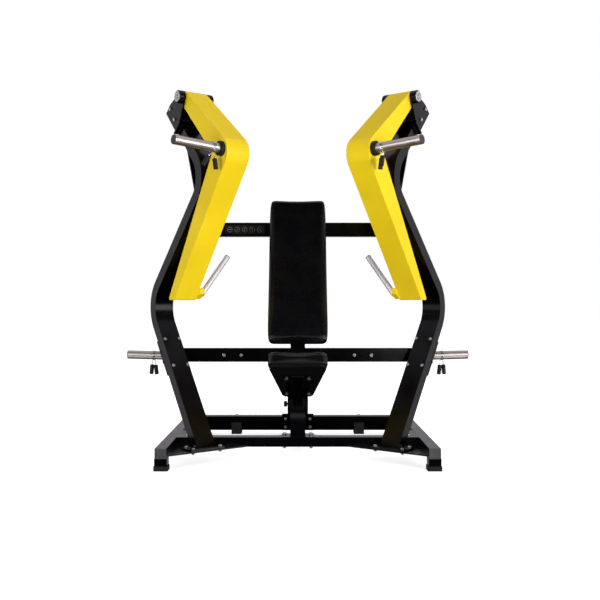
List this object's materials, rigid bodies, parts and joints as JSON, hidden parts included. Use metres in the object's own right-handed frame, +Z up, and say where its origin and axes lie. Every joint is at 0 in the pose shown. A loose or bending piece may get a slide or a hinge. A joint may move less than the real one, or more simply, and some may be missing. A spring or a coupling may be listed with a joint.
{
  "type": "chest press machine",
  "caption": "Plate-loaded chest press with inward-turned press arms on bent uprights, a leaning backrest, a sliding tilted seat and weight storage pegs.",
  "frame": {"origin": "on the floor, under the middle of the machine's overall box", "axes": "+X to the right of somebody facing the machine, +Y to its back, +Z up"},
  "size_m": [2.0452, 1.5587, 2.071],
  "materials": {
    "black_paint": "gloss powder coat",
    "yellow_paint": "gloss powder coat",
    "stainless": "polished stainless tube",
    "handle_chrome": "satin aluminium-look handle",
    "bright_steel": "machined",
    "cover_silver": "satin",
    "zinc": "zinc plated",
    "clip": "spring wire with black grips",
    "rubber": "matt moulded",
    "plastic": "moulded",
    "plywood": "dark laminated back board",
    "upholstery": "artificial leather"
  },
  "bodies": {
    "frame": {"backrest_board": "plywood", "backrest_bolts": "zinc", "backrest_cushion": "upholstery", "base_bolts": "zinc", "column": "black_paint", "end_caps": "plastic", "frame_bolts": "zinc", "front_rail": "black_paint", "left_bearing_housings": "black_paint", "left_bearings": "bright_steel", "left_corner_plate": "black_paint", "left_foot_shoe": "rubber", "left_pivot_bracket": "black_paint", "left_pivot_covers": "cover_silver", "left_rear_pad": "rubber", "left_side_rail": "black_paint", "left_stop_buffer": "rubber", "left_storage_peg": "stainless", "left_upright": "black_paint", "mid_crossbar": "black_paint", "rear_bar": "black_paint", "right_bearing_housings": "black_paint", "right_bearings": "bright_steel", "right_corner_plate": "black_paint", "right_foot_shoe": "rubber", "right_pivot_bracket": "black_paint", "right_pivot_covers": "cover_silver", "right_rear_pad": "rubber", "right_side_rail": "black_paint", "right_stop_buffer": "rubber", "right_storage_peg": "stainless", "right_upright": "black_paint", "spine_beam": "black_paint", "upper_crossbar": "black_paint"},
    "left_arm": {"left_arm_shell": "yellow_paint", "left_arm_back_plate": "yellow_paint", "left_arm_hub": "bright_steel", "left_weight_horn": "stainless", "left_horn_collar": "rubber", "left_handle": "handle_chrome", "left_arm_caps": "plastic", "left_pivot_shaft": "bright_steel"},
    "left_horn_clip": {"left_horn_clip": "clip"},
    "left_peg_clip": {"left_peg_clip": "clip"},
    "right_arm": {"right_arm_shell": "yellow_paint", "right_arm_back_plate": "yellow_paint", "right_arm_hub": "bright_steel", "right_weight_horn": "stainless", "right_horn_collar": "rubber", "right_handle": "handle_chrome", "right_arm_caps": "plastic", "right_pivot_shaft": "bright_steel"},
    "right_horn_clip": {"right_horn_clip": "clip"},
    "right_peg_clip": {"right_peg_clip": "clip"},
    "seat": {"seat_sleeve": "black_paint", "seat_sleeve_liner": "plastic", "seat_board": "plywood", "seat_cushion": "upholstery", "seat_bolts": "zinc"},
    "seat_pin": {"seat_pull_pin": "plastic"}
  },
  "joints": [
    {"name": "left_arm_pivot", "type": "hinge", "parent": "frame", "child": "left_arm", "pos_m": [-0.58525, -0.22119, 2.035], "axis": [-0.7986, -0.6018, 0], "range_deg": [0, 38]},
    {"name": "left_horn_clip_slide", "type": "slide", "parent": "left_arm", "child": "left_horn_clip", "axis": [-0.7971, -0.6007, 0.061], "range_m": [0, 0.216]},
    {"name": "left_peg_clip_slide", "type": "slide", "parent": "frame", "child": "left_peg_clip", "axis": [-0.9996, 0, 0.0279], "range_m": [0, 0.142]},
    {"name": "right_arm_pivot", "type": "hinge", "parent": "frame", "child": "right_arm", "pos_m": [0.58525, -0.22119, 2.035], "axis": [-0.7986, 0.6018, 0], "range_deg": [0, 38]},
    {"name": "right_horn_clip_slide", "type": "slide", "parent": "right_arm", "child": "right_horn_clip", "axis": [0.7971, -0.6007, 0.061], "range_m": [0, 0.216]},
    {"name": "right_peg_clip_slide", "type": "slide", "parent": "frame", "child": "right_peg_clip", "axis": [0.9996, 0, 0.0279], "range_m": [0, 0.142]},
    {"name": "seat_height", "type": "slide", "parent": "frame", "child": "seat", "axis": [0, 0.3907, 0.9205], "range_m": [0, 0.15]},
    {"name": "seat_pin_pull", "type": "slide", "parent": "seat", "child": "seat_pin", "axis": [-1, 0, 0], "range_m": [0, 0.012], "stiffness_N_per_m": 900, "springref_m": -0.004}
  ]
}
